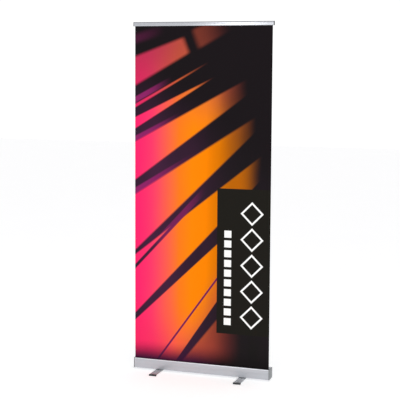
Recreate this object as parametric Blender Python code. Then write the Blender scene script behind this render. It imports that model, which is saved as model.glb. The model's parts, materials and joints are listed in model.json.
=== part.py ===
"""Roll-up banner stand: sprung roller in a cassette, banner, clamp rail, three-piece pole, two feet.

Metres, +Z up. The floor is z = 0, the banner faces -Y, and the stand is centred on the origin.
"""

import math

import bmesh
import bpy
from mathutils import Vector

# Driving sizes
GAP = 0.0003                 # left between two pieces that touch
OVERCUT = 0.001              # how far a cutter runs past the face it opens
ARC_STEP = 0.002             # length of one straight side in a rounded corner
BANNER_WIDTH = 0.850
BANNER_VISIBLE = 2.020       # from the cassette's slot up to the clamp rail
BANNER_THICKNESS = 0.0005

PAD_HEIGHT = 0.0019
TIP_WALL = 0.0007            # foot tip, around the bar
TIP_LENGTH = 0.010
TIP_POCKET = 0.006           # how far the bar goes into its tip
PIN_HEAD_RADIUS = 0.0025     # pin through the tip into the bar
PIN_HEAD = 0.0006            # its top above the tip, under the cassette when the foot is folded in
PIN_FLOOR = 0.001            # from the bar's underside up to the blind end of the pin's hole
PAD_INSET = 0.001            # from the tip's edges to the pad's
PAD_EDGE = 0.0005
BAR_THICKNESS = 0.0048
BAR_WIDTH = 0.045
FOOT_LENGTH = 0.306          # over both tips
FOOT_SPACING = 0.528         # between the two pivots
WASHER_THICKNESS = 0.0014
WASHER_RADIUS = 0.009
BOLT_RADIUS = 0.003
BOLT_HEAD_RADIUS = 0.0055
BOLT_HEAD_HEIGHT = 0.0027
NUT_RADIUS = 0.0058
NUT_HEIGHT = 0.005
BOLT_PAST_NUT = 0.002

CASSETTE_DEPTH = 0.074
CASSETTE_HEIGHT = 0.0615
CASSETTE_WALL = 0.0018
CASSETTE_SIDE_ROOM = 0.001   # from the banner's edge to the cassette's end, each side
BANNER_SETBACK = 0.0115      # from the cassette's front face to the banner
SLOT_IN_FRONT = 0.0038
SLOT_BEHIND = 0.0035
REAR_ROUND = 0.014
CAP_THICKNESS = 0.0032
CAP_OVERLAP = 0.001          # how far an end cap stands proud of the extrusion
CAP_BOTTOM = 0.0085
CAP_HUB_RADIUS = 0.009
CAP_HUB_LENGTH = 0.004
CAP_EDGE = 0.0004             # bevel on the edges of all four plastic caps
SCREW_RADIUS = 0.0015
SCREW_LENGTH = 0.014
SCREW_HEAD_RADIUS = 0.0033
SCREW_HEAD_HEIGHT = 0.0018
SCREW_HEAD_RIM = 0.0006       # straight side of the domed head
SCREW_BOSS_RADIUS = 0.0042
SCREW_INSET = 0.0052

ROLLER_RADIUS = 0.014
ROLLER_WALL = 0.0012
LEADER_BUILD = 0.0014        # wraps of leader film left on the roller
LEADER_INSET = 0.012         # from the banner's edge to the leader's
PLUG_RIM = 0.0012            # how far a roller plug's flange stands out past the tube
PLUG_FLANGE = 0.002
PLUG_STEM = 0.014
SPINDLE_RADIUS = 0.003
SPINDLE_LENGTH = 0.170
SPINDLE_SQUARE = 0.0042      # side of the square end held by the left cap
SPINDLE_GRIP = 0.005         # length of that end
SPINDLE_OVERLAP = 0.002      # of the square end with the round part
SPINDLE_COLLAR_RADIUS = 0.006
SPINDLE_COLLAR = 0.008
SPRING_RADIUS = 0.0085
SPRING_WIRE = 0.00075
SPRING_TURNS = 20

RAIL_HEIGHT = 0.0245
RAIL_IN_FRONT = 0.0055       # of the banner
RAIL_BEHIND = 0.0075
RAIL_OVERHANG = 0.006        # past the banner's edge
RAIL_CAP_THICKNESS = 0.003
RAIL_CAP_OVERLAP = 0.0005
RAIL_CAP_PEG = 0.004
RAIL_MOUTH = 0.0036
RAIL_CHAMBER = 0.0064
RAIL_LIP = 0.0025
RAIL_CHAMBER_TOP = 0.011
RAIL_STEP = 0.0125           # height of the flat front face, up to the V groove
HOOK_GROOVE_LOW = 0.0112
HOOK_GROOVE = 0.0050
HOOK_GROOVE_DEPTH = 0.0030
CLAMP_THICKNESS = 0.0022

POLE_SETBACK = 0.015         # from the cassette's back to the pole's axis
POLE_RADIUS = 0.007
POLE_WALL = 0.0008
POLE_TOP_BELOW_RAIL = 0.0065 # from the upper tube's top to the clamp rail's underside
FERRULE_WALL = 0.0008
FERRULE_LENGTH = 0.100
PLUG_HEAD = 0.0025
PLUG_CHAMFER = 0.0006
POLE_PLUG_STEM = 0.020
SOCKET_WALL = 0.0020
SOCKET_FLOOR = 0.002
SOCKET_RIM = 0.0025          # how far the socket's flange stands out past its wall
SOCKET_FLANGE = 0.0015
CORD_RADIUS = 0.0015
HOOK_WIDTH = 0.010
HOOK_ARM = 0.008
HOOK_NOSE = 0.0040
HOOK_REACH = 0.006            # of the nose past the arm's underside

# Sizes that follow from them
BANNER_HALF = BANNER_WIDTH / 2
BAR_BOTTOM = PAD_HEIGHT + GAP + TIP_WALL + GAP
BAR_TOP = BAR_BOTTOM + BAR_THICKNESS
CASSETTE_BOTTOM = BAR_TOP + GAP + WASHER_THICKNESS + GAP
CASSETTE_TOP = CASSETTE_BOTTOM + CASSETTE_HEIGHT
CASSETTE_HALF = BANNER_HALF + CASSETTE_SIDE_ROOM
FRONT = -CASSETTE_DEPTH / 2
BACK = CASSETTE_DEPTH / 2
BANNER_Y = FRONT + BANNER_SETBACK
POLE_Y = BACK - POLE_SETBACK
CAP_INNER = CASSETTE_HALF + GAP
CAP_OUTER = CAP_INNER + CAP_THICKNESS
SCREW_BORE = SCREW_RADIUS + GAP
WRAP_RADIUS = ROLLER_RADIUS + GAP + LEADER_BUILD
ROLLER_Y = BANNER_Y + BANNER_THICKNESS / 2 + GAP + WRAP_RADIUS
ROLLER_Z = CASSETTE_BOTTOM + CASSETTE_HEIGHT / 2
HUB_END = CAP_INNER - CAP_HUB_LENGTH
FLANGE_END = HUB_END - GAP
TUBE_END = FLANGE_END - PLUG_FLANGE - GAP
PLUG_FLANGE_RADIUS = ROLLER_RADIUS + PLUG_RIM
PLUG_BORE = SPINDLE_RADIUS + GAP
RAIL_BOTTOM = CASSETTE_TOP + BANNER_VISIBLE
RAIL_TOP = RAIL_BOTTOM + RAIL_HEIGHT
RAIL_HALF = BANNER_HALF + RAIL_OVERHANG
RAIL_FRONT = BANNER_Y - RAIL_IN_FRONT
RAIL_BACK = BANNER_Y + RAIL_BEHIND
BANNER_TOP = RAIL_BOTTOM + RAIL_CHAMBER_TOP - GAP
SOCKET_BORE = POLE_RADIUS + GAP
SOCKET_RADIUS = SOCKET_BORE + SOCKET_WALL
SOCKET_FLANGE_RADIUS = SOCKET_RADIUS + SOCKET_RIM
SOCKET_HOLE = SOCKET_RADIUS + GAP
# How far the socket reaches into the rear round, which sets how low it can go
REAR_REACH = max(0, POLE_Y + SOCKET_HOLE - (BACK - REAR_ROUND))
SOCKET_BOTTOM = (
    CASSETTE_BOTTOM + REAR_ROUND + GAP - math.sqrt((REAR_ROUND - CASSETTE_WALL) ** 2 - REAR_REACH ** 2))
POLE_BOTTOM = SOCKET_BOTTOM + SOCKET_FLOOR + GAP + PLUG_HEAD + GAP
POLE_TOP = RAIL_BOTTOM - POLE_TOP_BELOW_RAIL
POLE_SECTION = (POLE_TOP - POLE_BOTTOM - 2 * GAP) / 3
TUBE_BORE = POLE_RADIUS - POLE_WALL


# Shapes

def rounded(corners):
    """Closed outline through corners (u, v, radius), with an arc at each corner that has a radius."""
    outline = []
    for index, (u, v, radius) in enumerate(corners):
        here = Vector((u, v))
        if not radius:
            outline.append(here)
            continue
        before = (Vector(corners[index - 1][:2]) - here).normalized()
        after = (Vector(corners[(index + 1) % len(corners)][:2]) - here).normalized()
        half = before.angle(after) / 2
        centre = here + (before + after).normalized() * radius / math.sin(half)
        reach = radius / math.tan(half)
        first = here + before * reach - centre
        last = here + after * reach - centre
        start = math.atan2(first.y, first.x)
        sweep = (math.atan2(last.y, last.x) - start + math.pi) % math.tau - math.pi
        steps = max(3, math.ceil(radius * abs(sweep) / ARC_STEP))
        for step in range(steps + 1):
            angle = start + sweep * step / steps
            outline.append(centre + radius * Vector((math.cos(angle), math.sin(angle))))
    return outline


def extruded(outline, low, high):
    """Bmesh of the outline, drawn in Y and Z, extruded along X from low to high."""
    mesh = bmesh.new()
    face = mesh.faces.new([mesh.verts.new((low, y, z)) for y, z in outline])
    grown = bmesh.ops.extrude_face_region(mesh, geom=[face], use_keep_orig=True)
    moved = [item for item in grown["geom"] if isinstance(item, bmesh.types.BMVert)]
    bmesh.ops.translate(mesh, vec=(high - low, 0, 0), verts=moved)
    return mesh


def spun(profile, segments=32):
    """Bmesh of the closed profile of (radius, height), spun about Z."""
    mesh = bmesh.new()
    verts = [mesh.verts.new((radius, 0, height)) for radius, height in profile]
    edges = [mesh.edges.new((a, b)) for a, b in zip(verts, verts[1:] + verts[:1])]
    bmesh.ops.spin(
        mesh, geom=verts + edges, cent=(0, 0, 0), axis=(0, 0, 1), angle=math.tau, steps=segments,
        use_merge=True)
    bmesh.ops.remove_doubles(mesh, verts=mesh.verts, dist=1e-6)
    bmesh.ops.dissolve_degenerate(mesh, edges=mesh.edges, dist=1e-6)
    return mesh


def pipe(outer, inner, low, high):
    """Profile of a tube, for spun()."""
    return [(inner, low), (outer, low), (outer, high), (inner, high)]


def rod(radius, low, high):
    """Profile of a solid rod, for spun()."""
    return [(0, low), (radius, low), (radius, high), (0, high)]


def block(low, high):
    """Bmesh of a box between two corners."""
    mesh = bmesh.new()
    bmesh.ops.create_cube(mesh, size=1)
    low, high = Vector(low), Vector(high)
    bmesh.ops.scale(mesh, vec=high - low, verts=mesh.verts)
    bmesh.ops.translate(mesh, vec=(low + high) / 2, verts=mesh.verts)
    return mesh


# Objects

def paint(name, colour, roughness, metallic):
    """Principled material."""
    made = bpy.data.materials.new(name)
    made.use_nodes = True
    shader = made.node_tree.nodes["Principled BSDF"]
    shader.inputs["Base Color"].default_value = (*colour, 1)
    shader.inputs["Roughness"].default_value = roughness
    shader.inputs["Metallic"].default_value = metallic
    return made


def pivot(name, at):
    """Empty on a joint's axis, which the pieces of a moving body are parented to."""
    empty = bpy.data.objects.new(name, None)
    empty.empty_display_size = 0.02
    empty.location = at
    bpy.context.scene.collection.objects.link(empty)
    return empty


def piece(name, mesh, look=None, at=(0, 0, 0), on=None, lie=False, round_piece=False):
    """Object of a bmesh, at a place in the world, parented to the empty that it moves with.

    lie turns a shape spun about Z so that it runs along X.
    """
    bmesh.ops.recalc_face_normals(mesh, faces=mesh.faces)
    data = bpy.data.meshes.new(name)
    mesh.to_mesh(data)
    mesh.free()
    if round_piece:
        data.shade_smooth()
        data.set_sharp_from_angle(angle=math.radians(35))
    made = bpy.data.objects.new(name, data)
    bpy.context.scene.collection.objects.link(made)
    if look:
        data.materials.append(look)
    made.location = Vector(at) - (on.location if on else Vector())
    made.parent = on
    if lie:
        made.rotation_euler.y = math.pi / 2
    return made


def helper(name, mesh, at=(0, 0, 0), lie=False, on=None):
    """Hidden shape for a Boolean."""
    made = piece(name, mesh, at=at, lie=lie, on=on)
    made.hide_render = True
    made.display_type = "WIRE"
    return made


def combine(target, other, operation):
    """Boolean of the target with a hidden shape."""
    modifier = target.modifiers.new(other.name, "BOOLEAN")
    modifier.operation = operation
    modifier.object = other
    modifier.solver = "EXACT"


def soften(target, width, segments=2):
    """Bevel on the target's sharp edges."""
    modifier = target.modifiers.new("bevel", "BEVEL")
    modifier.width = width
    modifier.segments = segments
    modifier.limit_method = "ANGLE"
    modifier.angle_limit = math.radians(40)


# The cassette and its end caps

def screw_places():
    """(y, z) of the three screw bosses: front bottom, rear top, and inside the rear round."""
    diagonal = (REAR_ROUND - SCREW_INSET) * math.sqrt(0.5)
    return [
        (FRONT + SCREW_INSET, CASSETTE_BOTTOM + SCREW_INSET),
        (BACK - SCREW_INSET, CASSETTE_TOP - SCREW_INSET),
        (BACK - REAR_ROUND + diagonal, CASSETTE_BOTTOM + REAR_ROUND - diagonal),
    ]


def cassette(look):
    slot_front = BANNER_Y - SLOT_IN_FRONT
    slot_rear = BANNER_Y + SLOT_BEHIND
    lip = 0.0008
    wall = CASSETTE_WALL
    bottom, top = CASSETTE_BOTTOM, CASSETTE_TOP
    outline = rounded([
        (slot_front, top, lip), (FRONT, top, 0.002), (FRONT, bottom, 0.003),
        (BACK, bottom, REAR_ROUND), (BACK, top, 0.003), (slot_rear, top, lip),
        (slot_rear, top - wall, lip), (BACK - wall, top - wall, 0.002),
        (BACK - wall, bottom + wall, REAR_ROUND - wall), (FRONT + wall, bottom + wall, 0.002),
        (FRONT + wall, top - wall, 0.001), (slot_front, top - wall, lip)])
    body = piece("cassette", extruded(outline, -CASSETTE_HALF, CASSETTE_HALF), look)
    for number, (y, z) in enumerate(screw_places()):
        boss = spun(rod(SCREW_BOSS_RADIUS, -CASSETTE_HALF, CASSETTE_HALF), 20)
        combine(body, helper(f"boss_shape_{number}", boss, (0, y, z), lie=True), "UNION")
        bore = spun(rod(SCREW_BORE, -CAP_OUTER, CAP_OUTER), 16)
        combine(body, helper(f"boss_bore_{number}", bore, (0, y, z), lie=True), "DIFFERENCE")
    socket_hole = spun(rod(SOCKET_HOLE, SOCKET_BOTTOM - GAP, top + wall))
    combine(body, helper("socket_hole", socket_hole, (0, POLE_Y, 0)), "DIFFERENCE")
    for side in (-1, 1):
        hole = spun(rod(BOLT_RADIUS + GAP, bottom - wall, bottom + 2 * wall), 20)
        place = (side * FOOT_SPACING / 2, 0, 0)
        combine(body, helper(f"bolt_hole_{side}", hole, place), "DIFFERENCE")


def end_cap(name, side, look):
    proud = CAP_OVERLAP
    outline = rounded([
        (FRONT - proud, CAP_BOTTOM, 0.002), (BACK + proud, CAP_BOTTOM, REAR_ROUND + proud),
        (BACK + proud, CASSETTE_TOP + proud, 0.004), (FRONT - proud, CASSETTE_TOP + proud, 0.003)])
    low, high = sorted((side * CAP_INNER, side * CAP_OUTER))
    cap = piece(name, extruded(outline, low, high), look)
    hub_low, hub_high = sorted((side * HUB_END, side * (CAP_INNER + CAP_THICKNESS / 2)))
    hub = spun(rod(CAP_HUB_RADIUS, hub_low, hub_high), 28)
    combine(cap, helper(f"{name}_hub", hub, (0, ROLLER_Y, ROLLER_Z), lie=True), "UNION")
    seat_ends = (side * (HUB_END - OVERCUT), side * (HUB_END + SPINDLE_GRIP + GAP))
    seat_low, seat_high = sorted(seat_ends)
    if side < 0:
        half = SPINDLE_SQUARE / 2 + GAP
        seat = block((seat_low, -half, -half), (seat_high, half, half))
        seat_shape = helper(f"{name}_seat", seat, (0, ROLLER_Y, ROLLER_Z))
    else:
        seat = spun(rod(SPINDLE_RADIUS + GAP, seat_low, seat_high), 24)
        seat_shape = helper(f"{name}_seat", seat, (0, ROLLER_Y, ROLLER_Z), lie=True)
    combine(cap, seat_shape, "DIFFERENCE")
    for number, (y, z) in enumerate(screw_places()):
        low, high = sorted((side * (CAP_INNER - OVERCUT), side * (CAP_OUTER + OVERCUT)))
        hole = spun(rod(SCREW_BORE, low, high), 16)
        combine(cap, helper(f"{name}_hole_{number}", hole, (0, y, z), lie=True), "DIFFERENCE")
    soften(cap, CAP_EDGE)


def cap_screws(prefix, side, look):
    """Three domed screws that hold an end cap to the cassette's bosses."""
    head = CAP_OUTER + GAP
    tip = head - SCREW_LENGTH
    crown = head + SCREW_HEAD_HEIGHT
    for spot, (y, z) in zip(("front", "top", "rear"), screw_places()):
        profile = [
            (0, side * tip), (SCREW_RADIUS, side * tip), (SCREW_RADIUS, side * head),
            (SCREW_HEAD_RADIUS, side * head), (SCREW_HEAD_RADIUS, side * (head + SCREW_HEAD_RIM)),
            (SCREW_HEAD_RADIUS * 0.7, side * (crown - SCREW_HEAD_RIM / 2)), (0, side * crown)]
        name = f"{prefix}_screw_{spot}"
        piece(name, spun(profile, 18), look, (0, y, z), lie=True, round_piece=True)


# The roller, its spring and the banner

def roller(metal, plastic, film, on):
    axis = (0, ROLLER_Y, ROLLER_Z)
    bore = ROLLER_RADIUS - ROLLER_WALL
    tube = spun(pipe(ROLLER_RADIUS, bore, -TUBE_END, TUBE_END), 36)
    piece("roller_tube", tube, metal, axis, on, lie=True, round_piece=True)
    stem = bore - GAP
    inner = TUBE_END - PLUG_STEM
    left = [
        (PLUG_BORE, -FLANGE_END), (PLUG_FLANGE_RADIUS, -FLANGE_END),
        (PLUG_FLANGE_RADIUS, -TUBE_END - GAP), (stem, -TUBE_END - GAP), (stem, -inner),
        (PLUG_BORE, -inner)]
    piece("roller_plug_left", spun(left, 28), plastic, axis, on, lie=True, round_piece=True)
    pin_end = HUB_END + SPINDLE_GRIP
    right = [
        (0, inner), (stem, inner), (stem, TUBE_END + GAP), (PLUG_FLANGE_RADIUS, TUBE_END + GAP),
        (PLUG_FLANGE_RADIUS, FLANGE_END), (SPINDLE_RADIUS, FLANGE_END), (SPINDLE_RADIUS, pin_end),
        (0, pin_end)]
    piece("roller_plug_right", spun(right, 28), plastic, axis, on, lie=True, round_piece=True)
    leader_half = BANNER_HALF - LEADER_INSET
    wraps = spun(pipe(WRAP_RADIUS, ROLLER_RADIUS + GAP, -leader_half, leader_half), 36)
    piece("leader_wraps", wraps, film, axis, on, lie=True, round_piece=True)


def spring_and_spindle(steel, spring_steel):
    """Fixed spindle held by the left cap, and the torsion spring wound round it."""
    axis = (0, ROLLER_Y, ROLLER_Z)
    start = -FLANGE_END - GAP
    end = start + SPINDLE_LENGTH
    profile = [
        (0, start), (SPINDLE_RADIUS, start), (SPINDLE_RADIUS, end - SPINDLE_COLLAR),
        (SPINDLE_COLLAR_RADIUS, end - SPINDLE_COLLAR), (SPINDLE_COLLAR_RADIUS, end), (0, end)]
    spindle = piece("spring_spindle", spun(profile, 24), steel, axis, lie=True, round_piece=True)
    half = SPINDLE_SQUARE / 2
    grip = block((-HUB_END - SPINDLE_GRIP, -half, -half), (start + SPINDLE_OVERLAP, half, half))
    combine(spindle, helper("spindle_square", grip, axis), "UNION")

    low = -TUBE_END + PLUG_STEM + SPRING_WIRE + GAP
    high = end - SPINDLE_COLLAR / 2
    steps = 12
    curve = bpy.data.curves.new("torsion_spring", "CURVE")
    curve.dimensions = "3D"
    curve.bevel_depth = SPRING_WIRE
    curve.bevel_resolution = 1
    curve.use_fill_caps = True
    line = curve.splines.new("POLY")
    line.points.add(SPRING_TURNS * steps)
    for index, point in enumerate(line.points):
        turn = math.tau * index / steps
        along = low + (high - low) * index / (SPRING_TURNS * steps)
        point.co = (along, SPRING_RADIUS * math.cos(turn), SPRING_RADIUS * math.sin(turn), 1)
    spring = bpy.data.objects.new("torsion_spring", curve)
    curve.materials.append(spring_steel)
    spring.location = axis
    bpy.context.scene.collection.objects.link(spring)


def banner(look):
    """Printed sheet from the roller's front tangent, up through the slot, into the clamp rail."""
    half = BANNER_THICKNESS / 2
    low = (-BANNER_HALF, BANNER_Y - half, ROLLER_Z)
    high = (BANNER_HALF, BANNER_Y + half, BANNER_TOP)
    piece("banner", block(low, high), look)


# The clamp rail

def rail(look, on):
    mouth = RAIL_MOUTH / 2
    chamber = RAIL_CHAMBER / 2
    groove = RAIL_BOTTOM + HOOK_GROOVE_LOW
    step = RAIL_BOTTOM + RAIL_STEP
    notch = 0.0006
    crown = 0.0062
    outline = rounded([
        (BANNER_Y - mouth, RAIL_BOTTOM, 0), (RAIL_FRONT, RAIL_BOTTOM, 0.0008),
        (RAIL_FRONT, step - notch, 0), (RAIL_FRONT + notch, step, 0), (RAIL_FRONT, step + notch, 0),
        (RAIL_FRONT, RAIL_TOP, crown), (RAIL_BACK, RAIL_TOP, crown),
        (RAIL_BACK, groove + HOOK_GROOVE, 0), (RAIL_BACK - HOOK_GROOVE_DEPTH, groove + HOOK_GROOVE, 0),
        (RAIL_BACK - HOOK_GROOVE_DEPTH, groove, 0), (RAIL_BACK, groove, 0),
        (RAIL_BACK, RAIL_BOTTOM, 0.0008), (BANNER_Y + mouth, RAIL_BOTTOM, 0),
        (BANNER_Y + mouth, RAIL_BOTTOM + RAIL_LIP, 0), (BANNER_Y + chamber, RAIL_BOTTOM + RAIL_LIP, 0),
        (BANNER_Y + chamber, RAIL_BOTTOM + RAIL_CHAMBER_TOP, 0),
        (BANNER_Y - chamber, RAIL_BOTTOM + RAIL_CHAMBER_TOP, 0),
        (BANNER_Y - chamber, RAIL_BOTTOM + RAIL_LIP, 0), (BANNER_Y - mouth, RAIL_BOTTOM + RAIL_LIP, 0)])
    piece("clamp_rail", extruded(outline, -RAIL_HALF, RAIL_HALF), look, on=on)


def rail_fittings(metal, plastic, on):
    """The strip that wedges the banner in the rail's chamber, and the two end caps."""
    near = BANNER_Y + BANNER_THICKNESS / 2 + GAP
    low = RAIL_BOTTOM + RAIL_LIP + GAP
    high = RAIL_BOTTOM + RAIL_CHAMBER_TOP - GAP
    strip = block((-BANNER_HALF, near, low), (BANNER_HALF, near + CLAMP_THICKNESS, high))
    piece("clamp_strip", strip, metal, on=on)

    proud = RAIL_CAP_OVERLAP
    outline = rounded([
        (RAIL_FRONT - proud, RAIL_BOTTOM - proud, 0.001),
        (RAIL_BACK + proud, RAIL_BOTTOM - proud, 0.001),
        (RAIL_BACK + proud, RAIL_TOP + proud, 0.0065),
        (RAIL_FRONT - proud, RAIL_TOP + proud, 0.0065)])
    chamber = RAIL_CHAMBER / 2 - GAP
    inner = RAIL_HALF + GAP
    outer = inner + RAIL_CAP_THICKNESS
    for name, side in (("rail_cap_left", -1), ("rail_cap_right", 1)):
        x0, x1 = sorted((side * inner, side * outer))
        cap = piece(name, extruded(outline, x0, x1), plastic, on=on)
        x0, x1 = sorted((side * (RAIL_HALF - RAIL_CAP_PEG), side * (inner + RAIL_CAP_THICKNESS / 2)))
        peg = block((x0, BANNER_Y - chamber, low), (x1, BANNER_Y + chamber, high))
        combine(cap, helper(f"{name}_peg", peg, on=on), "UNION")
        soften(cap, CAP_EDGE)


# The pole

def pole_socket(look):
    top = CASSETTE_TOP + GAP
    profile = [
        (0, SOCKET_BOTTOM), (SOCKET_RADIUS, SOCKET_BOTTOM), (SOCKET_RADIUS, top),
        (SOCKET_FLANGE_RADIUS, top), (SOCKET_FLANGE_RADIUS, top + SOCKET_FLANGE),
        (SOCKET_BORE, top + SOCKET_FLANGE), (SOCKET_BORE, SOCKET_BOTTOM + SOCKET_FLOOR),
        (0, SOCKET_BOTTOM + SOCKET_FLOOR)]
    piece("pole_socket", spun(profile), look, (0, POLE_Y, 0), round_piece=True)


def pole_lower(metal, plastic, cord, on):
    """Lower tube with its foot plug and ferrule, and the elastic cord up inside all three tubes."""
    axis = (0, POLE_Y, 0)
    top = POLE_BOTTOM + POLE_SECTION
    tube = spun(pipe(POLE_RADIUS, TUBE_BORE, POLE_BOTTOM, top), 28)
    piece("pole_tube_lower", tube, metal, axis, on, round_piece=True)
    head = POLE_BOTTOM - GAP
    stem = TUBE_BORE - GAP
    plug = [
        (0, head - PLUG_HEAD), (POLE_RADIUS - PLUG_CHAMFER, head - PLUG_HEAD),
        (POLE_RADIUS, head - PLUG_HEAD + PLUG_CHAMFER), (POLE_RADIUS, head), (stem, head),
        (stem, head + POLE_PLUG_STEM), (0, head + POLE_PLUG_STEM)]
    piece("pole_plug_bottom", spun(plug, 24), plastic, axis, on, round_piece=True)
    ferrule("pole_ferrule_lower", top, metal, on)
    low = head + POLE_PLUG_STEM + GAP
    high = POLE_TOP - POLE_PLUG_STEM - GAP
    piece("elastic_cord", spun(rod(CORD_RADIUS, low, high), 10), cord, axis, on, round_piece=True)


def ferrule(name, joint_height, look, on):
    """Inner sleeve fixed in the tube below, which the tube above slides over."""
    outer = TUBE_BORE - GAP
    half = FERRULE_LENGTH / 2
    sleeve = spun(pipe(outer, outer - FERRULE_WALL, joint_height - half, joint_height + half), 28)
    piece(name, sleeve, look, (0, POLE_Y, 0), on, round_piece=True)


def pole_middle(metal, on):
    low = POLE_BOTTOM + POLE_SECTION + GAP
    tube = spun(pipe(POLE_RADIUS, TUBE_BORE, low, low + POLE_SECTION), 28)
    piece("pole_tube_middle", tube, metal, (0, POLE_Y, 0), on, round_piece=True)
    ferrule("pole_ferrule_upper", low + POLE_SECTION, metal, on)


def pole_upper(metal, plastic, on):
    """Upper tube, and the hook whose nose stands at the groove in the clamp rail's back."""
    axis = (0, POLE_Y, 0)
    tube = spun(pipe(POLE_RADIUS, TUBE_BORE, POLE_TOP - POLE_SECTION, POLE_TOP), 28)
    piece("pole_tube_upper", tube, metal, axis, on, round_piece=True)

    groove_middle = RAIL_BOTTOM + HOOK_GROOVE_LOW + HOOK_GROOVE / 2
    nose = RAIL_BACK + GAP
    low = POLE_TOP + GAP
    arm_top = groove_middle + HOOK_NOSE / 2
    back = POLE_Y + POLE_RADIUS
    neck = POLE_Y - POLE_RADIUS
    arm_bottom = arm_top - HOOK_ARM
    outline = rounded([
        (back, low, 0.001), (back, arm_top, 0.005), (nose, arm_top, 0.0006),
        (nose, arm_top - HOOK_NOSE, 0.0006), (nose + HOOK_REACH, arm_bottom, 0.002),
        (neck, arm_bottom, 0.003), (neck, low, 0.001)])
    half = HOOK_WIDTH / 2
    hook = piece("pole_hook", extruded(outline, -half, half), plastic, on=on)
    stem = spun(rod(TUBE_BORE - GAP, POLE_TOP - POLE_PLUG_STEM, low + 2 * OVERCUT), 24)
    combine(hook, helper("hook_stem", stem, axis, on=on), "UNION")


# The feet

def foot_bolt(side_name, x, steel):
    """Countersunk bolt from under the foot into the cassette, its washer and its lock nut."""
    head_top = BAR_BOTTOM + BOLT_HEAD_HEIGHT
    nut_low = CASSETTE_BOTTOM + CASSETTE_WALL + GAP
    bolt_top = nut_low + NUT_HEIGHT + BOLT_PAST_NUT
    bolt = [
        (0, BAR_BOTTOM), (BOLT_HEAD_RADIUS, BAR_BOTTOM), (BOLT_RADIUS, head_top),
        (BOLT_RADIUS, bolt_top), (0, bolt_top)]
    piece(f"foot_bolt_{side_name}", spun(bolt, 24), steel, (x, 0, 0), round_piece=True)
    low = BAR_TOP + GAP
    washer = spun(pipe(WASHER_RADIUS, BOLT_RADIUS + GAP, low, low + WASHER_THICKNESS), 28)
    piece(f"foot_washer_{side_name}", washer, steel, (x, 0, 0), round_piece=True)
    nut_bore = (BOLT_RADIUS + GAP) / math.cos(math.pi / 6)
    nut = spun(pipe(NUT_RADIUS, nut_bore, nut_low, nut_low + NUT_HEIGHT), 6)
    piece(f"foot_nut_{side_name}", nut, steel, (x, 0, 0))


def foot(name, x, metal, plastic, rubber, steel, on):
    """Flat bar that turns about the bolt, with a plastic tip, a tip pin and a rubber pad at each end."""
    half = BAR_WIDTH / 2
    bar_end = FOOT_LENGTH / 2 - TIP_LENGTH + TIP_POCKET
    flat = block((-half, -bar_end, BAR_BOTTOM), (half, bar_end, BAR_TOP))
    bar = piece(name + "_bar", flat, metal, (x, 0, 0), on)
    clear = GAP * 1.5
    seat = [
        (0, BAR_BOTTOM - clear), (BOLT_HEAD_RADIUS + 2 * clear, BAR_BOTTOM - clear),
        (BOLT_RADIUS + clear, BAR_BOTTOM + BOLT_HEAD_HEIGHT + clear / 2),
        (BOLT_RADIUS + clear, BAR_TOP + clear), (0, BAR_TOP + clear)]
    combine(bar, helper(name + "_bar_hole", spun(seat, 24), (x, 0, 0), on=on), "DIFFERENCE")

    tip_low = PAD_HEIGHT + GAP
    tip_high = BAR_TOP + GAP + TIP_WALL
    tip_half = half + GAP + TIP_WALL
    tip_out = FOOT_LENGTH / 2
    tip_in = tip_out - TIP_LENGTH
    pin_y = tip_in + TIP_POCKET / 2
    pin_floor = BAR_BOTTOM + PIN_FLOOR
    for end, sign in (("front", -1), ("rear", 1)):
        y0, y1 = sorted((sign * tip_in, sign * tip_out))
        cover = block((-tip_half, y0, tip_low), (tip_half, y1, tip_high))
        tip = piece(f"{name}_tip_{end}", cover, plastic, (x, 0, 0), on)
        y0, y1 = sorted((sign * (tip_in - OVERCUT), sign * (bar_end + GAP)))
        pocket = block((-half - GAP, y0, BAR_BOTTOM - GAP), (half + GAP, y1, BAR_TOP + GAP))
        pin_hole = spun(rod(SCREW_BORE, pin_floor, tip_high + OVERCUT), 16)
        combine(tip, helper(f"{name}_pocket_{end}", pocket, (x, 0, 0), on=on), "DIFFERENCE")
        hole = helper(f"{name}_pin_hole_{end}", pin_hole, (x, sign * pin_y, 0), on=on)
        combine(tip, hole, "DIFFERENCE")
        combine(bar, hole, "DIFFERENCE")
        pin = [
            (0, pin_floor + GAP), (SCREW_RADIUS, pin_floor + GAP),
            (SCREW_RADIUS, tip_high), (PIN_HEAD_RADIUS, tip_high + GAP),
            (PIN_HEAD_RADIUS * 0.8, tip_high + PIN_HEAD), (0, tip_high + PIN_HEAD)]
        piece(f"{name}_pin_{end}", spun(pin, 16), steel, (x, sign * pin_y, 0), on, round_piece=True)
        y0, y1 = sorted((sign * (tip_in + PAD_INSET), sign * (tip_out - PAD_INSET)))
        pad = block((-half, y0, 0), (half, y1, PAD_HEIGHT))
        made = piece(f"{name}_pad_{end}", pad, rubber, (x, 0, 0), on)
        soften(made, PAD_EDGE)


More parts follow.
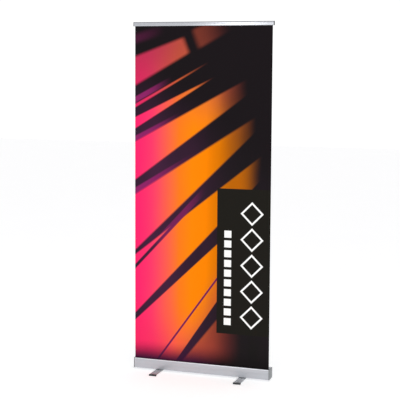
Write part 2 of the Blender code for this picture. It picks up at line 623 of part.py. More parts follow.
def build():
    for old in list(bpy.data.objects):
        bpy.data.objects.remove(old)

    anodised = paint("anodised aluminium", (0.53, 0.54, 0.57), 0.38, 0.85)
    bar_metal = paint("foot bar", (0.42, 0.42, 0.43), 0.45, 0.6)
    cap_plastic = paint("silver plastic", (0.33, 0.33, 0.35), 0.5, 0.0)
    dark_plastic = paint("dark grey plastic", (0.10, 0.10, 0.10), 0.5, 0.0)
    black_plastic = paint("black plastic", (0.02, 0.02, 0.022), 0.45, 0.0)
    rubber = paint("rubber", (0.03, 0.03, 0.03), 0.9, 0.0)
    zinc = paint("zinc steel", (0.60, 0.60, 0.58), 0.35, 1.0)
    spring_steel = paint("spring steel", (0.25, 0.25, 0.27), 0.4, 1.0)
    print_film = paint("printed film", (0.55, 0.05, 0.08), 0.55, 0.0)
    leader_film = paint("leader film", (0.75, 0.75, 0.75), 0.5, 0.0)
    cord = paint("elastic cord", (0.05, 0.05, 0.05), 0.9, 0.0)

    cassette(anodised)
    for name, side in (("end_cap_left", -1), ("end_cap_right", 1)):
        end_cap(name, side, cap_plastic)
        cap_screws(name, side, zinc)

    roller_axis = pivot("roller_axis", (0, ROLLER_Y, ROLLER_Z))
    roller(anodised, dark_plastic, leader_film, roller_axis)
    spring_and_spindle(zinc, spring_steel)
    banner(print_film)

    rail_travel = pivot("rail_travel", (0, BANNER_Y, RAIL_BOTTOM))
    rail(anodised, rail_travel)
    rail_fittings(anodised, dark_plastic, rail_travel)

    pole_socket(black_plastic)
    lower_axis = pivot("pole_lower_axis", (0, POLE_Y, POLE_BOTTOM))
    middle_axis = pivot("pole_middle_axis", (0, POLE_Y, POLE_BOTTOM + POLE_SECTION))
    upper_axis = pivot("pole_upper_axis", (0, POLE_Y, POLE_TOP - POLE_SECTION))
    pole_lower(anodised, black_plastic, cord, lower_axis)
    pole_middle(anodised, middle_axis)
    pole_upper(anodised, black_plastic, upper_axis)

    for name, side in (("foot_left", -1), ("foot_right", 1)):
        x = side * FOOT_SPACING / 2
        foot_bolt(name.removeprefix("foot_"), x, zinc)
        foot(name, x, bar_metal, black_plastic, rubber, zinc, pivot(name + "_axis", (x, 0, 0)))


build()
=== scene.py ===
"""A roll-up banner stand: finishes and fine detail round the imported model."""
import json
import math

import bpy
from mathutils import Matrix, Vector

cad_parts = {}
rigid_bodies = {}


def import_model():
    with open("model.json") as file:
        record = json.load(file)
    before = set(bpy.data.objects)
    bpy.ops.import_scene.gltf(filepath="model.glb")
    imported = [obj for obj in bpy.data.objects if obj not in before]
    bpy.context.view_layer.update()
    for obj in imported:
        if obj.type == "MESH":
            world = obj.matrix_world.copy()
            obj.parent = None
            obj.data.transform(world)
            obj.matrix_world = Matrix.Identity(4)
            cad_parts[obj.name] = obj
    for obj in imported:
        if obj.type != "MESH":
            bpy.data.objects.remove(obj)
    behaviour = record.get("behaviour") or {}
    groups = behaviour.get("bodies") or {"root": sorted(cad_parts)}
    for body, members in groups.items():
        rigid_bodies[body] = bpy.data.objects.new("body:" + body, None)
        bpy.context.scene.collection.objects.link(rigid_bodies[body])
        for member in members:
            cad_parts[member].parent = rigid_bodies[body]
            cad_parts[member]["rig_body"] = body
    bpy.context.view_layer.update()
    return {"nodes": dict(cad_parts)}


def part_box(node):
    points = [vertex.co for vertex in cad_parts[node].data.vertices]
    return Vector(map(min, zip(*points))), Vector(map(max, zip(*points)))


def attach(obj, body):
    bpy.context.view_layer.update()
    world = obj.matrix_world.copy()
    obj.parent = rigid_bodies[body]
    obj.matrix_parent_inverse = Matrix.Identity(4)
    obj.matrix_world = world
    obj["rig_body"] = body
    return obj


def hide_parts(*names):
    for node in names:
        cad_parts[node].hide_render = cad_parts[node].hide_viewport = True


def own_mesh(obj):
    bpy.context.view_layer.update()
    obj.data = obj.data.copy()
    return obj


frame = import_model()
bpy.ops.object.select_all(action="DESELECT")


# --- The camera, the floor and the light -------------------------------------------------------
# The stand is seen from its right side, from just under its own height, by a long lens.
# The room is a white cyclorama with one broad soft light left of the camera and a weaker one
# overhead.
scene = bpy.context.scene
scene.view_settings.view_transform = "Standard"
CAMERA_LENS = 97.9
CAMERA_SHIFT = -0.05
CAMERA_SEES = 60
CAMERA_PLACE = (2.0371, -6.1223, 1.8266)
CAMERA_YAW = math.radians(18.569)
CAMERA_DOWN = math.radians(5.714)
CAMERA_ROLL = math.radians(0.318)
camera_data = bpy.data.cameras.new("camera")
camera_data.lens = CAMERA_LENS
camera_data.shift_y = CAMERA_SHIFT
camera_data.clip_end = CAMERA_SEES
camera = bpy.data.objects.new("camera", camera_data)
scene.collection.objects.link(camera)
scene.camera = camera
turn = Matrix.Rotation(CAMERA_YAW, 4, "Z") @ Matrix.Rotation(math.pi / 2 - CAMERA_DOWN, 4, "X")
roll = Matrix.Rotation(CAMERA_ROLL, 4, "Z")
camera.matrix_world = Matrix.Translation(CAMERA_PLACE) @ turn @ roll


def soft_light(name, place, target, width, height, power):
    """A rectangular lamp at a place, turned to a target; sizes in metres, power in watts."""
    data = bpy.data.lights.new(name, "AREA")
    data.shape = "RECTANGLE"
    data.size = width
    data.size_y = height
    data.energy = power
    lamp = bpy.data.objects.new(name, data)
    scene.collection.objects.link(lamp)
    lamp.location = place
    lamp.rotation_euler = (Vector(target) - Vector(place)).to_track_quat("-Z", "Y").to_euler()
    return lamp


soft_light(
    "key_light", place=(-0.25, -6.0, 2.4), target=(0, 0, 1.2), width=2.2, height=2.4, power=45
)
top_light = soft_light(
    "top_light", place=(1.8, -1.6, 5.0), target=(0, 0, 0.6), width=3.0, height=3.0, power=30
)
top_light.visible_glossy = False


class Tone:
    """A node's output. Arithmetic on it adds Math nodes, and add() puts in any other node."""

    def __init__(self, tree, socket=None):
        self.tree = tree
        self.socket = socket

    def add(self, kind, settings=(), sockets=(), output=0):
        node = self.tree.nodes.new("ShaderNode" + kind)
        for name, value in dict(settings).items():
            if name == "stops":
                ramp = node.color_ramp.elements
                while len(ramp) < len(value):
                    ramp.new(0.5)
                for stop, (place, colour) in zip(ramp, value):
                    stop.position = place
                    stop.color = (*colour, 1)
            else:
                setattr(node, name, value)
        for name, value in dict(sockets).items():
            if isinstance(value, Tone):
                self.tree.links.new(value.socket, node.inputs[name])
            else:
                node.inputs[name].default_value = value
        return Tone(self.tree, node.outputs[output])

    def place(self):
        """Where the shaded point is on its piece, in metres."""
        return self.add("TexCoord", output="Object")

    def noise(self, place, scale, detail=2.0):
        return self.add("TexNoise", (), {"Vector": place, "Scale": scale, "Detail": detail})

    def bump(self, height, strength, distance=0.0001):
        sockets = {"Strength": strength, "Distance": distance, "Height": height}
        return self.add("Bump", (), sockets)

    def split(self):
        """The X, Y and Z of a vector."""
        node = self.add("SeparateXYZ", (), {"Vector": self}).socket.node
        return [Tone(self.tree, part) for part in node.outputs]

    def maths(self, operation, *terms):
        return self.add("Math", {"operation": operation}, dict(enumerate(terms)))

    def __add__(self, other):
        return self.maths("ADD", self, other)

    def __radd__(self, other):
        return self.maths("ADD", other, self)

    def __sub__(self, other):
        return self.maths("SUBTRACT", self, other)

    def __rsub__(self, other):
        return self.maths("SUBTRACT", other, self)

    def __mul__(self, other):
        return self.maths("MULTIPLY", self, other)

    def __truediv__(self, other):
        return self.maths("DIVIDE", self, other)

    def __abs__(self):
        return self.maths("ABSOLUTE", self)

    def rise(self, start, end):
        """0 below start, 1 above end, smooth between."""
        return self.add(
            "MapRange",
            {"interpolation_type": "SMOOTHSTEP"},
            {"Value": self, "From Min": start, "From Max": end},
        )

    def mixed(self, first, second):
        """Colour first where this is 0, second where it is 1."""
        return self.add(
            "Mix",
            {"data_type": "RGBA", "clamp_factor": True},
            {0: self, 6: first, 7: second},
            output=2,
        )


def rgb(code):
    """Linear colour from a six-digit code, as on a paint chart."""
    parts = [int(code[i : i + 2], 16) / 255 for i in (0, 2, 4)]
    return tuple(c / 12.92 if c <= 0.04045 else ((c + 0.055) / 1.055) ** 2.4 for c in parts) + (1,)


def finish(name, paint, specular=0.5):
    """A material: paint(tones) gives the sockets that vary over the surface."""
    material = bpy.data.materials.new(name)
    material.use_nodes = True
    tree = material.node_tree
    tree.nodes.clear()
    tones = Tone(tree)
    sockets = dict(paint(tones))
    sockets["Specular IOR Level"] = specular
    surface = tones.add("BsdfPrincipled", (), sockets)
    out = tree.nodes.new("ShaderNodeOutputMaterial")
    tree.links.new(surface.socket, out.inputs["Surface"])
    return material


WALL_LIGHT = (1, 1, 1, 1)
CEILING_LIGHT = (0.42, 0.42, 0.43, 1)
ROOM_STRENGTH = 1.06
FLOOR_GLOW = 0.45
world = bpy.data.worlds.new("studio")
world.use_nodes = True
sky = Tone(world.node_tree)
upward = sky.add("TexCoord", output="Generated").split()[2]
ceiling = upward.rise(0.05, 0.75)
background = world.node_tree.nodes["Background"]
room_light = ceiling.mixed(WALL_LIGHT, CEILING_LIGHT)
world.node_tree.links.new(room_light.socket, background.inputs["Color"])
background.inputs["Strength"].default_value = ROOM_STRENGTH
scene.world = world


def pale_floor(t):
    cloud = t.noise(t.place(), 1.5, detail=3.0)
    return {
        "Base Color": cloud.mixed(rgb("F6F6F6"), rgb("FAFAFA")),
        "Roughness": 0.85 + cloud * 0.1,
        "Emission Color": (1, 1, 1, 1),
        "Emission Strength": FLOOR_GLOW,
    }


bpy.ops.mesh.primitive_plane_add(size=40, location=(0, 0, -0.0005))
floor = bpy.context.object
floor.name = "floor"
floor.data.materials.append(finish("pale_floor", pale_floor, specular=0.1))
bpy.ops.object.select_all(action="DESELECT")


# --- The two feet ------------------------------------------------------------------------------
# Each is a flat extruded bar with a mill finish, with a dark moulded tip pushed over each end,
# pinned through, and a thin rubber pad under it. The bar turns on a bolt under the cassette.
def mill_aluminium(t):
    place = t.place()
    lines = t.add("Mapping", (), {"Vector": place, "Scale": (900.0, 4.0, 900.0)})
    grain = t.noise(lines, 1.0)
    scuff = t.noise(place, 60.0, detail=4.0)
    return {
        "Base Color": (grain * 0.6 + scuff * 0.4).mixed(rgb("C6C8CA"), rgb("E4E6E8")),
        "Metallic": 0.75,
        "Roughness": 0.36 + grain * 0.14,
        "Normal": t.bump(grain, 0.25, distance=0.0002),
    }


def dark_moulding(t):
    place = t.place()
    spark = t.noise(place, 1600.0)
    wear = t.noise(place, 120.0, detail=3.0)
    return {
        "Base Color": wear.mixed(rgb("2B2D2E"), rgb("3D4042")),
        "Roughness": 0.5 + spark * 0.15,
        "Normal": t.bump(spark, 0.3),
    }


def pad_rubber(t):
    grain = t.noise(t.place(), 2200.0)
    return {
        "Base Color": grain.mixed(rgb("161616"), rgb("242424")),
        "Roughness": 0.8 + grain * 0.1,
        "Normal": t.bump(grain, 0.5),
    }


def bright_steel(t):
    stain = t.noise(t.place(), 400.0, detail=3.0)
    return {
        "Base Color": stain.mixed(rgb("A8ABAE"), rgb("C9CCCF")),
        "Metallic": 1.0,
        "Roughness": 0.25 + stain * 0.15,
    }


NEAR = 0.00001
FLAT_ANGLE = math.radians(0.5)
EDGE_ANGLE = math.radians(40)
SMOOTH_ANGLE = math.radians(32)


def dressed(node, material, soft=0.0, shape=None):
    """A copy of a CAD node: faces merged, shaped further, its edges softened, its rounds smooth."""
    source = frame["nodes"][node]
    piece = bpy.data.objects.new(node + "_shell", source.data.copy())
    scene.collection.objects.link(piece)
    bpy.context.view_layer.objects.active = piece
    piece.select_set(True)
    bpy.ops.object.mode_set(mode="EDIT")
    bpy.ops.mesh.select_all(action="SELECT")
    bpy.ops.mesh.remove_doubles(threshold=NEAR)
    bpy.ops.mesh.dissolve_limited(angle_limit=FLAT_ANGLE)
    bpy.ops.object.mode_set(mode="OBJECT")
    if shape:
        shape(piece)
    if soft:
        edge = piece.modifiers.new("soft_edge", "BEVEL")
        edge.width = soft
        edge.segments = 2
        edge.limit_method = "ANGLE"
        edge.angle_limit = EDGE_ANGLE
        bpy.ops.object.modifier_apply(modifier=edge.name)
    bpy.ops.object.shade_smooth_by_angle(angle=SMOOTH_ANGLE)
    piece.data.materials.clear()
    piece.data.materials.append(material)
    piece.select_set(False)
    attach(piece, source["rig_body"])
    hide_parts(node)
    return piece


def corners(piece):
    """The lowest and highest corner of a piece's box."""
    points = [vertex.co for vertex in piece.data.vertices]
    return Vector(map(min, zip(*points))), Vector(map(max, zip(*points)))


def pick(piece, kind, wanted):
    """Edit mode with only the vertices, edges or faces whose middle passes a test selected."""
    bpy.ops.object.mode_set(mode="EDIT")
    bpy.ops.mesh.select_mode(type=kind)
    bpy.ops.mesh.select_all(action="DESELECT")
    bpy.ops.object.mode_set(mode="OBJECT")
    points = piece.data.vertices
    if kind == "FACE":
        for face in piece.data.polygons:
            face.select = wanted(face.center, face.normal)
    elif kind == "EDGE":
        for edge in piece.data.edges:
            first, last = (points[end].co for end in edge.vertices)
            edge.select = wanted((first + last) / 2, (last - first).normalized())
    else:
        for point in points:
            point.select = wanted(point.co, point.normal)
    bpy.ops.object.mode_set(mode="EDIT")


def score(piece, axis, places):
    """Lines cut all round the piece, square to an axis."""
    for place in places:
        pick(piece, "FACE", lambda middle, normal: True)
        at = Vector((0, 0, 0))
        at[axis] = place
        normal = Vector((0, 0, 0))
        normal[axis] = 1
        bpy.ops.mesh.bisect(plane_co=at, plane_no=normal)
        bpy.ops.object.mode_set(mode="OBJECT")


GROOVE_PLACE = 0.0165
GROOVE_HALF = 0.0006
GROOVE_DEPTH = 0.0004


def bar_grooves(bar):
    """Two fine V grooves along the top of the bar, from its die."""
    low, high = corners(bar)
    for side in (-1, 1):
        line = (low.x + high.x) / 2 + side * GROOVE_PLACE
        score(bar, 0, (line - GROOVE_HALF, line, line + GROOVE_HALF))
        pick(bar, "VERT", lambda at, normal: abs(at.x - line) < NEAR and at.z > high.z - NEAR)
        bpy.ops.transform.translate(value=(0, 0, -GROOVE_DEPTH))
        bpy.ops.object.mode_set(mode="OBJECT")


TIP_CORNER = 0.0022
RIBS = 3
RIB_PITCH = 0.0016
RIB_START = 2.75 * RIB_PITCH
RIB_HEIGHT = 0.0003
RIB_INSET = 0.0035


def tip_ribs(tip):
    """Rounded outer corners, and three grip ribs across the top of the tip."""
    low, high = corners(tip)
    outward = 1 if high.y > 0 else -1
    outer = high.y if outward > 0 else low.y

    def corner(middle, along):
        at_side = min(abs(middle.x - low.x), abs(middle.x - high.x)) < NEAR
        return abs(along.z) > 0.99 and at_side and abs(middle.y - outer) < NEAR

    pick(tip, "EDGE", corner)
    bpy.ops.mesh.bevel(offset=TIP_CORNER, segments=4)
    bpy.ops.object.mode_set(mode="OBJECT")
    first = outer - outward * RIB_START
    lines = [first + outward * RIB_PITCH * step / 2 for step in range(2 * RIBS)]
    score(tip, 1, lines)
    score(tip, 0, (low.x + RIB_INSET, high.x - RIB_INSET))
    ribs = [(lines[number] + lines[number + 1]) / 2 for number in range(0, 2 * RIBS, 2)]

    def on_rib(middle, normal):
        inside = low.x + RIB_INSET < middle.x < high.x - RIB_INSET
        near = min(abs(middle.y - rib) for rib in ribs) < RIB_PITCH / 8
        return normal.z > 0.99 and middle.z > high.z - NEAR and inside and near

    pick(tip, "FACE", on_rib)
    bpy.ops.mesh.extrude_region_move(TRANSFORM_OT_translate={"value": (0, 0, RIB_HEIGHT)})
    bpy.ops.object.mode_set(mode="OBJECT")


foot_finish = finish("mill_aluminium", mill_aluminium)
tip_finish = finish("dark_moulding", dark_moulding, specular=0.4)
rubber_finish = finish("pad_rubber", pad_rubber, specular=0.3)
steel_finish = finish("bright_steel", bright_steel)
for foot in ("foot_left", "foot_right"):
    dressed(foot + "_bar", foot_finish, soft=0.0003, shape=bar_grooves)
    for end in ("front", "rear"):
        dressed(f"{foot}_tip_{end}", tip_finish, soft=0.00012, shape=tip_ribs)
        dressed(f"{foot}_pin_{end}", tip_finish, soft=0.0002)
        dressed(f"{foot}_pad_{end}", rubber_finish, soft=0.0002)
for fastener in ("foot_bolt_", "foot_washer_", "foot_nut_"):
    for side in ("left", "right"):
        dressed(fastener + side, steel_finish, soft=0.0002)


# --- The cassette ------------------------------------------------------------------------------
# One aluminium extrusion, satin anodised, with fine die lines along it; a highlight is painted
# along the lip of its slot. A grey moulded cap closes each end, held by three cross-headed screws.
def along(t, scale, detail=2.0):
    """Fine lines along X, as an extrusion die leaves them."""
    stretched = t.add("Mapping", (), {"Vector": t.place(), "Scale": (1.0, scale, scale)})
    return t.noise(stretched, 1.0, detail)


def anodised(t, roughness=0.34):
    die = along(t, 700.0)
    broad = along(t, 90.0, detail=1.0)
    dust = t.noise(t.place(), 35.0, detail=4.0)
    return {
        "Base Color": (die * 0.4 + broad * 0.4 + dust * 0.2).mixed(rgb("AEB0B5"), rgb("C6C8CE")),
        "Metallic": 0.8,
        "Roughness": roughness + die * 0.12,
        "Normal": t.bump(die, 0.2, distance=0.0002),
    }


cassette_low, cassette_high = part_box("cassette")


def cassette_skin(t):
    """The anodised extrusion, with a painted highlight on the lip in front of the slot, and
    smoother there.
    """
    sockets = anodised(t)
    back, up = t.place().split()[1:]
    top, front = cassette_high.z, cassette_low.y
    # Painted highlight: the lip's colour is lightened to near-white, standing in for light caught
    # on its edge.
    lip_highlight = up.rise(top - 0.006, top - 0.003) * (1 - back.rise(front + 0.007, front + 0.009))
    sockets["Base Color"] = (lip_highlight * 0.9).mixed(sockets["Base Color"], rgb("EDEFF4"))
    sockets["Roughness"] = sockets["Roughness"] - lip_highlight * 0.08
    return sockets


def grey_moulding(t, darker="7C7F81", lighter="8D9092", detail=3.0):
    place = t.place()
    spark = t.noise(place, 1500.0)
    flow = t.noise(place, 45.0, detail)
    return {
        "Base Color": flow.mixed(rgb(darker), rgb(lighter)),
        "Roughness": 0.42 + spark * 0.14,
        "Normal": t.bump(spark, 0.3),
    }


RECESS_LENGTH = 0.0036
RECESS_WIDTH = 0.0008
RECESS_DEPTH = 0.0011
RECESS_TAPER = 0.55


def cross_recess(screw):
    """A cross cut into the screw's domed head, its arms tapering inwards."""
    low, high = corners(screw)
    outward = 1 if high.x > 0 else -1
    face = high.x if outward > 0 else low.x
    axis = Vector((face, (low.y + high.y) / 2, (low.z + high.z) / 2))
    for size in ((RECESS_LENGTH, RECESS_WIDTH), (RECESS_WIDTH, RECESS_LENGTH)):
        bpy.ops.mesh.primitive_cube_add(size=1, location=axis)
        arm = bpy.context.object
        arm.scale = (RECESS_DEPTH * 2, *size)
        bpy.ops.object.transform_apply(location=True, rotation=True, scale=True)
        pick(arm, "FACE", lambda middle, normal: normal.x * outward < -0.9)
        bpy.ops.transform.resize(value=(1, RECESS_TAPER, RECESS_TAPER), center_override=axis)
        bpy.ops.object.mode_set(mode="OBJECT")
        arm.select_set(False)
        bpy.context.view_layer.objects.active = screw
        screw.select_set(True)
        recess = screw.modifiers.new("recess", "BOOLEAN")
        recess.object = arm
        bpy.ops.object.modifier_apply(modifier=recess.name)
        bpy.data.objects.remove(arm)


cap_finish = finish("grey_moulding", grey_moulding, specular=0.4)
cassette_finish = finish("cassette_skin", cassette_skin)
dressed("cassette", cassette_finish, soft=0.0003)
for side in ("left", "right"):
    dressed("end_cap_" + side, cap_finish, soft=0.0006)
    for place in ("front", "rear", "top"):
        screw = f"end_cap_{side}_screw_{place}"
        dressed(screw, steel_finish, soft=0.0001, shape=cross_recess)


# --- The roller inside the cassette ------------------------------------------------------------
# An aluminium tube on two plastic plugs, wound up by a steel coil spring round a square-ended
# spindle. The last turns of plain leader film stay on it when the banner is out.
def spring_wire(t):
    drawn = t.noise(t.place(), 700.0)
    return {
        "Base Color": drawn.mixed(rgb("5F6468"), rgb("84898E")),
        "Metallic": 1.0,
        "Roughness": 0.35 + drawn * 0.15,
    }


def grey_back(t):
    place = t.place()
    grain = t.noise(place, 900.0)
    cloud = t.noise(place, 4.0)
    return {
        "Base Color": (grain * 0.3 + cloud * 0.7).mixed(rgb("8F9193"), rgb("9DA0A2")),
        "Roughness": 0.6 + grain * 0.1,
        "Normal": t.bump(grain, 0.15),
    }


WRAP_PITCH = 0.00018


def leader_sheet(t):
    """Plain white film, whose wound edges show as rings at the ends of the roll."""
    back, up = t.place().split()[1:]
    across = back - roll_axis.y
    above = up - roll_axis.z
    radius = t.maths("SQRT", across * across + above * above)
    ring = t.maths("SINE", radius * (math.tau / WRAP_PITCH)) * 0.5 + 0.5
    return {
        "Base Color": ring.mixed(rgb("C9C9C6"), rgb("E8E8E5")),
        "Roughness": 0.45 + ring * 0.1,
        "Normal": t.bump(ring, 0.2),
    }


# The spring is one length of round wire, wound on a mandrel and ground off square at its ends.
WIRE_RADIUS = 0.00075
WIRE_SIDES = 10
SPRING_TURNS = 20
STEPS_IN_TURN = 24
spring_low, spring_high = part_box("torsion_spring")
roll_axis = (spring_low + spring_high) / 2
coil_radius = (spring_high.z - spring_low.z) / 2 - WIRE_RADIUS
bpy.ops.mesh.primitive_circle_add(vertices=WIRE_SIDES, radius=WIRE_RADIUS)
spring = bpy.context.object
spring.name = "torsion_spring_wire"
pick(spring, "VERT", lambda at, normal: True)
bpy.ops.transform.translate(value=(0, coil_radius, 0))
bpy.ops.object.mode_set(mode="OBJECT")
coil = spring.modifiers.new("coil", "SCREW")
coil.axis = "X"
coil.iterations = SPRING_TURNS
coil.screw_offset = (spring_high.x - spring_low.x - 2 * WIRE_RADIUS) / SPRING_TURNS
coil.steps = STEPS_IN_TURN
coil.render_steps = STEPS_IN_TURN
bpy.ops.object.modifier_apply(modifier=coil.name)
pick(spring, "VERT", lambda at, normal: True)
bpy.ops.transform.translate(value=(spring_low.x + WIRE_RADIUS, roll_axis.y, roll_axis.z))
bpy.ops.mesh.fill_holes(sides=0)
bpy.ops.mesh.normals_make_consistent(inside=False)
bpy.ops.object.mode_set(mode="OBJECT")
bpy.ops.object.shade_smooth_by_angle(angle=math.radians(50))
spring.data.materials.append(finish("spring_wire", spring_wire))
spring.select_set(False)
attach(spring, frame["nodes"]["torsion_spring"]["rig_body"])
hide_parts("torsion_spring")

back_finish = finish("grey_back", grey_back, specular=0.25)
leader_finish = finish("leader_sheet", leader_sheet, specular=0.3)
dressed("roller_tube", foot_finish, soft=0.0002)
dressed("roller_plug_left", tip_finish, soft=0.0003)
dressed("roller_plug_right", tip_finish, soft=0.0003)
dressed("leader_wraps", leader_finish)
dressed("spring_spindle", steel_finish, soft=0.0002)


# --- The banner --------------------------------------------------------------------------------
# A 0.5 mm film printed on its face and grey behind, 850 mm wide. It comes off the roller, up
# through the slot and into the clamp rail, and its cut edges curl a little to the front.
BANNER_WIDTH = 0.85
FILM = 0.0005
CURL = 0.0010
RIPPLE_ACROSS = 0.00006
RIPPLE_ALONG = 0.00008
HELD_BELOW = 0.05
HELD_IN_ALL = 0.08
low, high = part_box("banner")
cassette_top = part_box("cassette")[1].z
film_length = high.z - low.z
bpy.ops.mesh.primitive_grid_add(
    x_subdivisions=60, y_subdivisions=120, size=1, rotation=(math.pi / 2, 0, 0)
)
banner = bpy.context.object
banner.name = "banner_print"
bpy.ops.object.transform_apply(location=False, rotation=True, scale=False)
middle = (low + high) / 2
for vertex in banner.data.vertices:
    across = vertex.co.x * 2
    up = vertex.co.z + 0.5
    along_free = (up * film_length - HELD_BELOW) / (film_length - HELD_IN_ALL)
    free = math.sin(math.pi * min(1, max(0, along_free)))
    ripple = math.sin(across * 9 + up * 3) * RIPPLE_ACROSS
    ripple += math.sin(across * 4 - up * 11) * RIPPLE_ALONG
    bow = ripple - CURL * abs(across) ** 5
    vertex.co.x *= high.x - low.x
    vertex.co.y = middle.y - FILM / 2 + bow * free
    vertex.co.z = low.z + up * film_length
banner.data.update()
wall = banner.modifiers.new("film", "SOLIDIFY")
wall.thickness = FILM
wall.offset = -1
bpy.ops.object.modifier_apply(modifier=wall.name)
bpy.ops.object.shade_smooth_by_angle(angle=math.radians(40))


PANEL_LEFT = 0.523
PANEL_LOW = 0.195
PANEL_HIGH = 1.067
LOZENGES = 5
LOZENGE_LOW = 0.225
LOZENGE_PITCH = 0.155
LOZENGE_ACROSS = 0.738
LOZENGE_REACH = 0.063
SQUARES = 10
SQUARE_LOW = 0.240
SQUARE_PITCH = 0.0585
SQUARE_ACROSS = 0.590


PINK_TO_AMBER = (
    (0.0, rgb("FF246C")[:3]),
    (0.10, rgb("FF3A68")[:3]),
    (0.28, rgb("FF5F4A")[:3]),
    (0.46, rgb("FF7A1C")[:3]),
    (0.64, rgb("FF8604")[:3]),
    (0.82, rgb("F98400")[:3]),
    (0.95, rgb("D97400")[:3]),
    (1.0, rgb("B86206")[:3]),
)


def panel_area(across, up):
    right_of = across.rise(PANEL_LEFT - 0.001, PANEL_LEFT + 0.001)
    over = up.rise(PANEL_LOW - 0.001, PANEL_LOW + 0.001)
    return right_of * over * (1 - up.rise(PANEL_HIGH - 0.001, PANEL_HIGH + 0.001))


def panel_marks(across, up):
    """A row of lozenge outlines up the panel, and a column of small squares beside it."""
    row = (up - LOZENGE_LOW) / LOZENGE_PITCH
    cell = row.maths("FRACT", row) * LOZENGE_PITCH - LOZENGE_PITCH / 2
    lozenge = abs(cell) + abs(across - LOZENGE_ACROSS)
    stroke = 1 - abs(lozenge - LOZENGE_REACH).rise(0.0065, 0.0085)
    row_end = LOZENGE_LOW + LOZENGES * LOZENGE_PITCH
    stroke = stroke * up.rise(LOZENGE_LOW, LOZENGE_LOW + 0.001)
    stroke = stroke * (1 - up.rise(row_end - 0.001, row_end))
    step = (up - SQUARE_LOW) / SQUARE_PITCH
    block = abs(step.maths("FRACT", step) - 0.5)
    squares = (1 - abs(across - SQUARE_ACROSS).rise(0.021, 0.0225)) * (1 - block.rise(0.35, 0.37))
    column_end = SQUARE_LOW + SQUARES * SQUARE_PITCH
    squares = squares * up.rise(SQUARE_LOW, SQUARE_LOW + 0.001)
    squares = squares * (1 - up.rise(column_end - 0.001, column_end))
    return stroke + squares


def print_art(t):
    """Rising beams of light, pink to amber, that fade into the dark, behind a dark panel.

    Lengths are metres, from the film's left edge and from the cassette's top.
    """
    uv = t.add("TexCoord", output="UV")
    share_across, share_up = uv.split()[:2]
    across = share_across * BANNER_WIDTH
    up = share_up * film_length - (cassette_top - low.z)
    haze = t.noise(uv, 5.0) - 0.5

    def line(left, right, blur):
        """1 above a straight line, given by its heights at the two side edges."""
        rise = (right - left) / BANNER_WIDTH
        return (up - across * rise - left).rise(-blur, blur)

    def beam(upper, lower, starts=None, ends=None, blur=0.006, slant=0.0):
        """The light between two lines; it may start and end along a slanting edge."""
        light = (1 - line(*upper, blur)) * line(*lower, blur)
        place = across + haze * 0.05
        if slant:
            place = place + (up - 1.9) * slant
        if starts:
            light = light * place.rise(*starts)
        if ends:
            light = light * (1 - place.rise(*ends))
        return light

    glow = (
        beam((1.84, 2.15), (1.67, 2.15), ends=(0.30, 0.35), blur=0.014, slant=0.5) * 0.8
        + beam((1.86, 2.18), (1.67, 2.13), (0.38, 0.43), (0.42, 0.66), 0.016, 0.4) * 0.28
        + beam((1.557, 2.02), (1.536, 2.03), ends=(0.26, 0.48)) * 0.8
        + beam((1.477, 1.89), (1.41, 1.94), ends=(0.34, 0.52))
        + beam((1.33, 1.79), (1.10, 1.73), ends=(0.47, 0.71), blur=0.009)
        + beam((1.01, 1.55), (0.67, 1.50), ends=(0.56, 0.76), blur=0.010)
        + beam((0.64, 1.31), (0.28, 1.19), ends=(0.64, 0.80), blur=0.008)
        * (1 - beam((0.580, 1.49), (0.552, 1.46)))
        + beam((0.235, 1.04), (-0.39, 0.87))
        * (1 - beam((-0.195, 0.985), (-0.215, 0.967), blur=0.003))
        + beam((-0.38, 0.68), (-3.0, -2.0), ends=(0.42, 0.68), blur=0.012) * 0.62
    )
    violet = (
        beam((1.60, 2.05), (1.565, 2.02), ends=(0.05, 0.24))
        + beam((1.364, 1.80), (1.33, 1.79), ends=(0.05, 0.30))
        + beam((1.05, 1.56), (1.01, 1.55), ends=(0.05, 0.38))
        + beam((0.600, 1.51), (0.552, 1.46), starts=(0.10, 0.20), ends=(0.30, 0.45)) * 0.6
        + beam((-0.190, 0.99), (-0.22, 0.962)) * 0.6
        + beam((1.97, 2.22), (1.92, 2.17), ends=(0.02, 0.20), blur=0.02) * 0.2
    )
    ramp = (across + haze * 0.04).rise(-0.02, 0.62)
    light = ramp.add("ValToRGB", {"stops": PINK_TO_AMBER}, {"Fac": ramp})
    light = ((up + across * 0.25).rise(1.45, 2.0) * 0.7).mixed(light, rgb("A8374C"))
    light = ((0.46 - up - across * 0.3).rise(0.0, 0.5) * 0.75).mixed(light, rgb("EE2C5C"))
    light = ((across - up * 0.5).rise(0.18, 0.42) * 0.75).mixed(light, rgb("B8453A"))
    shade = (across + haze * 0.25).rise(0.1, 0.72).mixed(rgb("42223C"), rgb("1B1A18"))
    gloom = across.rise(-0.1, 0.12) * (1 - haze.rise(-0.25, 0.3) * 0.4)
    shade = gloom.mixed(rgb("2C1C2C"), shade)
    top = (up + across * 0.6).rise(1.3, 1.9).mixed(shade, rgb("1A1518"))
    lit = violet.mixed(top, rgb("8A2463"))
    lit = glow.mixed(lit, light)
    low_edge = (up + haze * 0.02).rise(-0.01, 0.12)
    low_shade = across.rise(0.3, 0.6).mixed(rgb("3A1634"), rgb("181516"))
    lit = low_edge.mixed(low_shade, lit)
    lit = panel_area(across, up).mixed(lit, rgb("1F1D19"))
    lit = panel_marks(across, up).mixed(lit, rgb("FAFAF8"))
    grain = t.noise(uv, 900.0)
    return {
        "Base Color": lit,
        "Roughness": 0.55 + grain * 0.1,
        "Normal": t.bump(grain, 0.08),
    }


banner.data.materials.append(finish("banner_print", print_art, specular=0.03))
banner.data.materials.append(back_finish)
for face in banner.data.polygons:
    face.material_index = 0 if face.normal.y < -0.5 else 1
banner.select_set(False)
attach(banner, "base")
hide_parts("banner")
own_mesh(banner)


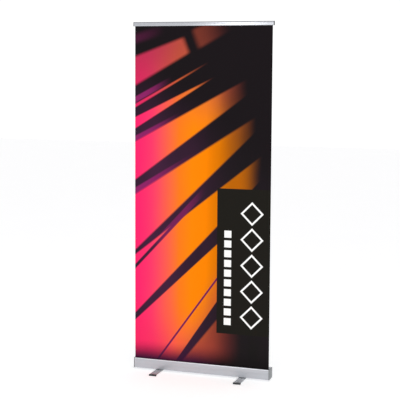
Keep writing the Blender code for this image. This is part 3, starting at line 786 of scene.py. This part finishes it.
# --- The clamp rail ----------------------------------------------------------------------------
# A slim aluminium extrusion that grips the film with a strip pressed in from below. Its front has
# a flat face, a groove and a rounded top, and a small grey cap closes each end.
def rail_skin(t):
    return anodised(t, roughness=0.2)


def rail_moulding(t):
    return grey_moulding(t, darker="4A4C4E", lighter="585A5C", detail=2.0)


dressed("clamp_rail", finish("rail_skin", rail_skin), soft=0.0002)
dressed("clamp_strip", tip_finish, soft=0.0003)
rail_cap_finish = finish("rail_moulding", rail_moulding, specular=0.4)
for side in ("left", "right"):
    dressed("rail_cap_" + side, rail_cap_finish, soft=0.0003)


# --- The pole ----------------------------------------------------------------------------------
# Three thin anodised tubes joined by ferrules, with an elastic cord through them. The foot of the
# lower tube stands in a moulded socket in the cassette, and a hook on top carries the rail.
def drawn_tube(t):
    lines = t.add("Mapping", (), {"Vector": t.place(), "Scale": (800.0, 800.0, 6.0)})
    drawn = t.noise(lines, 1.0)
    return {
        "Base Color": drawn.mixed(rgb("AEB1B5"), rgb("C8CBCF")),
        "Metallic": 0.9,
        "Roughness": 0.3 + drawn * 0.12,
        "Normal": t.bump(drawn, 0.15),
    }


def braided_elastic(t):
    place = t.place()
    braid = t.add("TexWave", {"bands_direction": "DIAGONAL"}, {"Vector": place, "Scale": 300.0})
    return {
        "Base Color": braid.mixed(rgb("101010"), rgb("2E2E2E")),
        "Roughness": 0.7 + braid * 0.2,
        "Normal": t.bump(braid, 0.5, distance=0.0002),
    }


RING_FROM_END = 0.012
RING_HALF = 0.0005
RING_SHRINK = 0.93
HOOK_RIM = 0.0010
HOOK_WEB = 0.0008
pole_low, pole_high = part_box("pole_tube_lower")
pole_axis = (pole_low + pole_high) / 2
tube_radius = (pole_high.x - pole_low.x) / 2


def crimped(tube):
    """A rolled ring near each end of the tube, where it is crimped on its ferrule or plug."""
    low, high = corners(tube)
    for ring in (low.z + RING_FROM_END, high.z - RING_FROM_END):
        score(tube, 2, (ring - RING_HALF, ring, ring + RING_HALF))

        def on_ring(at, normal):
            out = math.hypot(at.x, at.y - pole_axis.y)
            return abs(at.z - ring) < NEAR and out > tube_radius * 0.95

        pick(tube, "VERT", on_ring)
        centre = (0, pole_axis.y, ring)
        bpy.ops.transform.resize(value=(RING_SHRINK, RING_SHRINK, 1), center_override=centre)
        bpy.ops.object.mode_set(mode="OBJECT")


def hook_webs(hook):
    """The hook's sides hollowed to a thin web inside a rim, as such mouldings are."""
    pick(hook, "FACE", lambda middle, normal: abs(normal.x) > 0.999)
    bpy.ops.mesh.inset(thickness=HOOK_RIM, depth=-HOOK_WEB)
    bpy.ops.object.mode_set(mode="OBJECT")


tube_finish = finish("drawn_tube", drawn_tube)
elastic_finish = finish("braided_elastic", braided_elastic, specular=0.2)
dressed("pole_socket", tip_finish, soft=0.0004)
dressed("pole_plug_bottom", tip_finish, soft=0.0003)
for part in ("lower", "middle", "upper"):
    tube = "pole_tube_" + part
    dressed(tube, tube_finish, soft=0.00012, shape=crimped)
for part in ("lower", "upper"):
    dressed("pole_ferrule_" + part, foot_finish, soft=0.0002)
dressed("pole_hook", tip_finish, soft=0.0003, shape=hook_webs)
dressed("elastic_cord", elastic_finish, soft=0.0002)
